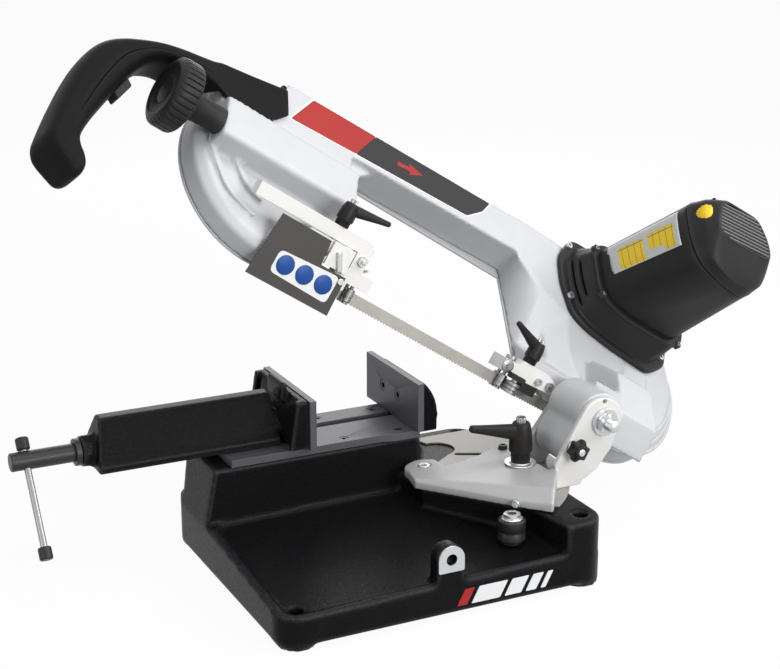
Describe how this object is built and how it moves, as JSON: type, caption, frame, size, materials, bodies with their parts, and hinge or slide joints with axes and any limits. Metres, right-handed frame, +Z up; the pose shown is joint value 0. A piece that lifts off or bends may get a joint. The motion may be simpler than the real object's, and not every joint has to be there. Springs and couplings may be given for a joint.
{
  "type": "metal cutting band saw",
  "caption": "Bench-top band saw for cutting metal bar: tilting wheel bow with motor, screw vise on a tray base, mitre swivel and adjustable blade guides.",
  "frame": {"origin": "centre of the base's bolt-hole rectangle, on the surface the feet stand on", "axes": "+X to the right along the vise screw, +Y to the rear, +Z up"},
  "size_m": [0.8198, 0.3309, 0.5532],
  "materials": {
    "black_casting": "textured satin black",
    "dark_steel": "dark machined",
    "steel": "bright turned",
    "zinc": "zinc plated",
    "silver_casting": "silver paint",
    "machined_casting": "machined face",
    "scale": "satin beige",
    "black_plastic": "satin",
    "yellow_plastic": "semi gloss",
    "guard_paint": "matt charcoal",
    "cream_zinc": "cream satin",
    "windings": "lacquered",
    "blade_steel": "ground",
    "rubber": "matt"
  },
  "bodies": {
    "base": {"base_casting": "black_casting", "guide_rails": "dark_steel", "base_screws": "zinc", "fixed_jaw_support": "black_casting", "fixed_jaw_plate": "dark_steel", "vise_nut": "steel", "stop_bumper": "rubber", "scale_plate": "scale", "mitre_pivot_bolt": "zinc"},
    "vise_jaw": {"movable_jaw_body": "black_casting", "movable_jaw_plate": "dark_steel", "movable_jaw_screws": "zinc"},
    "vise_screw": {"vise_screw": "dark_steel", "screw_collars": "dark_steel"},
    "tommy_bar": {"tommy_bar": "steel", "tommy_bar_caps": "black_plastic"},
    "swivel": {"swivel_arm": "machined_casting", "swivel_fasteners": "zinc", "hinge_pin": "steel"},
    "mitre_lever": {"mitre_lock_lever": "black_plastic"},
    "lock_pin": {"lock_pin_knob": "black_plastic"},
    "bow": {"bow_frame": "silver_casting", "cover_hinge_pins": "steel", "band_blade": "blade_steel", "drive_bearings": "steel", "bearing_carrier": "silver_casting", "motor_stator": "windings", "gearbox_housing": "black_plastic", "motor_housing": "black_plastic", "motor_end_cap": "black_plastic", "bow_screws": "zinc", "handle_front": "black_plastic", "handle_rear": "black_plastic", "guide_studs": "steel", "right_guide_block": "cream_zinc", "right_roller_pins": "steel"},
    "drive_wheel": {"drive_wheel": "silver_casting", "drive_shaft": "steel", "drive_gear": "steel"},
    "middle_gear": {"middle_gear": "steel"},
    "motor_rotor": {"motor_rotor": "windings"},
    "tension_knob": {"tension_knob": "black_plastic", "tension_screw": "steel"},
    "tension_slider": {"tension_slider": "silver_casting", "idler_axle": "steel"},
    "idler_wheel": {"idler_wheel": "silver_casting", "idler_bearings": "steel"},
    "wheel_cover": {"wheel_cover": "silver_casting"},
    "trigger": {"trigger": "black_plastic"},
    "speed_dial": {"speed_dial": "yellow_plastic"},
    "left_guide": {"left_guide_bar": "cream_zinc", "left_roller_pins": "steel", "blade_guard": "guard_paint", "guard_screw": "zinc"},
    "left_front_roller": {"left_front_roller": "steel"},
    "left_rear_roller": {"left_rear_roller": "steel"},
    "right_front_roller": {"right_front_roller": "steel"},
    "right_rear_roller": {"right_rear_roller": "steel"},
    "left_guide_lever": {"left_guide_lever": "black_plastic"},
    "right_guide_lever": {"right_guide_lever": "black_plastic"}
  },
  "joints": [
    {"name": "screw_turn", "type": "hinge", "parent": "vise_jaw", "child": "vise_screw", "pos_m": [-0.3, 0.102, 0.136], "axis": [1, 0, 0], "range_deg": [0, 7925]},
    {"name": "jaw_slide", "type": "slide", "parent": "base", "child": "vise_jaw", "axis": [1, 0, 0], "range_m": [0, 0.11]},
    {"name": "tommy_bar_slide", "type": "slide", "parent": "vise_screw", "child": "tommy_bar", "axis": [0, -0.5821, -0.8131], "range_m": [-0.079, 0]},
    {"name": "mitre_swivel", "type": "hinge", "parent": "base", "child": "swivel", "pos_m": [0.06, 0.028, 0.075], "axis": [0, 0, 1], "range_deg": [0, 45]},
    {"name": "mitre_lever_turn", "type": "hinge", "parent": "swivel", "child": "mitre_lever", "pos_m": [0.145, -0.029, 0.1], "axis": [0, 0, 1], "range_deg": [-30, 30]},
    {"name": "lock_pin_pull", "type": "slide", "parent": "swivel", "child": "lock_pin", "axis": [0, -1, 0], "range_m": [0, 0.008], "stiffness_N_per_m": 400},
    {"name": "bow_tilt", "type": "hinge", "parent": "swivel", "child": "bow", "pos_m": [0.2212, 0, 0.1419], "axis": [0, -1, 0], "range_deg": [-12, 33.2]},
    {"name": "motor_spin", "type": "hinge", "parent": "bow", "child": "motor_rotor", "pos_m": [0.37641, 0.03613, 0.25932], "axis": [0.3664, -0.7431, 0.5599], "continuous": true},
    {"name": "middle_gear_spin", "type": "hinge", "parent": "bow", "child": "middle_gear", "pos_m": [0.33959, 0.08544, 0.18812], "axis": [0.3664, -0.7431, 0.5599], "continuous": true},
    {"name": "drive_wheel_spin", "type": "hinge", "parent": "bow", "child": "drive_wheel", "pos_m": [0.31569, 0.07713, 0.13915], "axis": [0.3664, -0.7431, 0.5599], "continuous": true},
    {"name": "tension_knob_turn", "type": "hinge", "parent": "bow", "child": "tension_knob", "pos_m": [-0.19211, 0.05484, 0.49543], "axis": [-0.8368, 0, 0.5476], "range_deg": [0, 602]},
    {"name": "tension_slide", "type": "slide", "parent": "bow", "child": "tension_slider", "axis": [0.8368, 0, -0.5476], "range_m": [0, 0.0025]},
    {"name": "idler_wheel_spin", "type": "hinge", "parent": "tension_slider", "child": "idler_wheel", "pos_m": [-0.0893, 0.07713, 0.40417], "axis": [0.3664, -0.7431, 0.5599], "continuous": true},
    {"name": "wheel_cover_hinge", "type": "hinge", "parent": "bow", "child": "wheel_cover", "pos_m": [0.13566, 0.17262, 0.34798], "axis": [0.8368, 0, -0.5476], "range_deg": [0, 100]},
    {"name": "trigger_press", "type": "slide", "parent": "bow", "child": "trigger", "axis": [-0.5796, 0.2885, 0.7621], "range_m": [0, 0.0045], "stiffness_N_per_m": 600},
    {"name": "speed_dial_turn", "type": "hinge", "parent": "bow", "child": "speed_dial", "pos_m": [0.37383, -0.01797, 0.33209], "axis": [0.3664, -0.7431, 0.5599], "range_deg": [-135, 135]},
    {"name": "left_guide_slide", "type": "slide", "parent": "bow", "child": "left_guide", "axis": [0.8368, 0, -0.5476], "range_m": [0, 0.04]},
    {"name": "left_front_roller_spin", "type": "hinge", "parent": "left_guide", "child": "left_front_roller", "pos_m": [-0.03337, 0.01808, 0.28693], "axis": [0.5476, 0, 0.8368], "continuous": true},
    {"name": "left_rear_roller_spin", "type": "hinge", "parent": "left_guide", "child": "left_rear_roller", "pos_m": [-0.03337, 0.02893, 0.28693], "axis": [0.5476, 0, 0.8368], "continuous": true},
    {"name": "right_front_roller_spin", "type": "hinge", "parent": "bow", "child": "right_front_roller", "pos_m": [0.14486, 0.01808, 0.1703], "axis": [0.5476, 0, 0.8368], "continuous": true},
    {"name": "right_rear_roller_spin", "type": "hinge", "parent": "bow", "child": "right_rear_roller", "pos_m": [0.14486, 0.02893, 0.1703], "axis": [0.5476, 0, 0.8368], "continuous": true},
    {"name": "left_guide_lever_turn", "type": "hinge", "parent": "bow", "child": "left_guide_lever", "pos_m": [-0.0352, 0.013, 0.37178], "axis": [0.5476, 0, 0.8368], "range_deg": [-80, 0]},
    {"name": "right_guide_lever_turn", "type": "hinge", "parent": "bow", "child": "right_guide_lever", "pos_m": [0.1854, 0.015, 0.19755], "axis": [0.5476, 0, 0.8368], "range_deg": [0, 80]}
  ],
  "couplings": [
    {"joint": "screw_turn", "follows": "jaw_slide", "rad_per_m": 1256.6},
    {"joint": "tension_knob_turn", "follows": "tension_slide", "rad_per_m": 4188.8},
    {"joint": "middle_gear_spin", "follows": "motor_spin", "ratio": -0.29412},
    {"joint": "drive_wheel_spin", "follows": "motor_spin", "ratio": 0.056926},
    {"joint": "idler_wheel_spin", "follows": "motor_spin", "ratio": 0.056926},
    {"joint": "left_front_roller_spin", "follows": "motor_spin", "ratio": -0.97941},
    {"joint": "left_rear_roller_spin", "follows": "motor_spin", "ratio": 0.97941},
    {"joint": "right_front_roller_spin", "follows": "motor_spin", "ratio": -0.97941},
    {"joint": "right_rear_roller_spin", "follows": "motor_spin", "ratio": 0.97941}
  ]
}
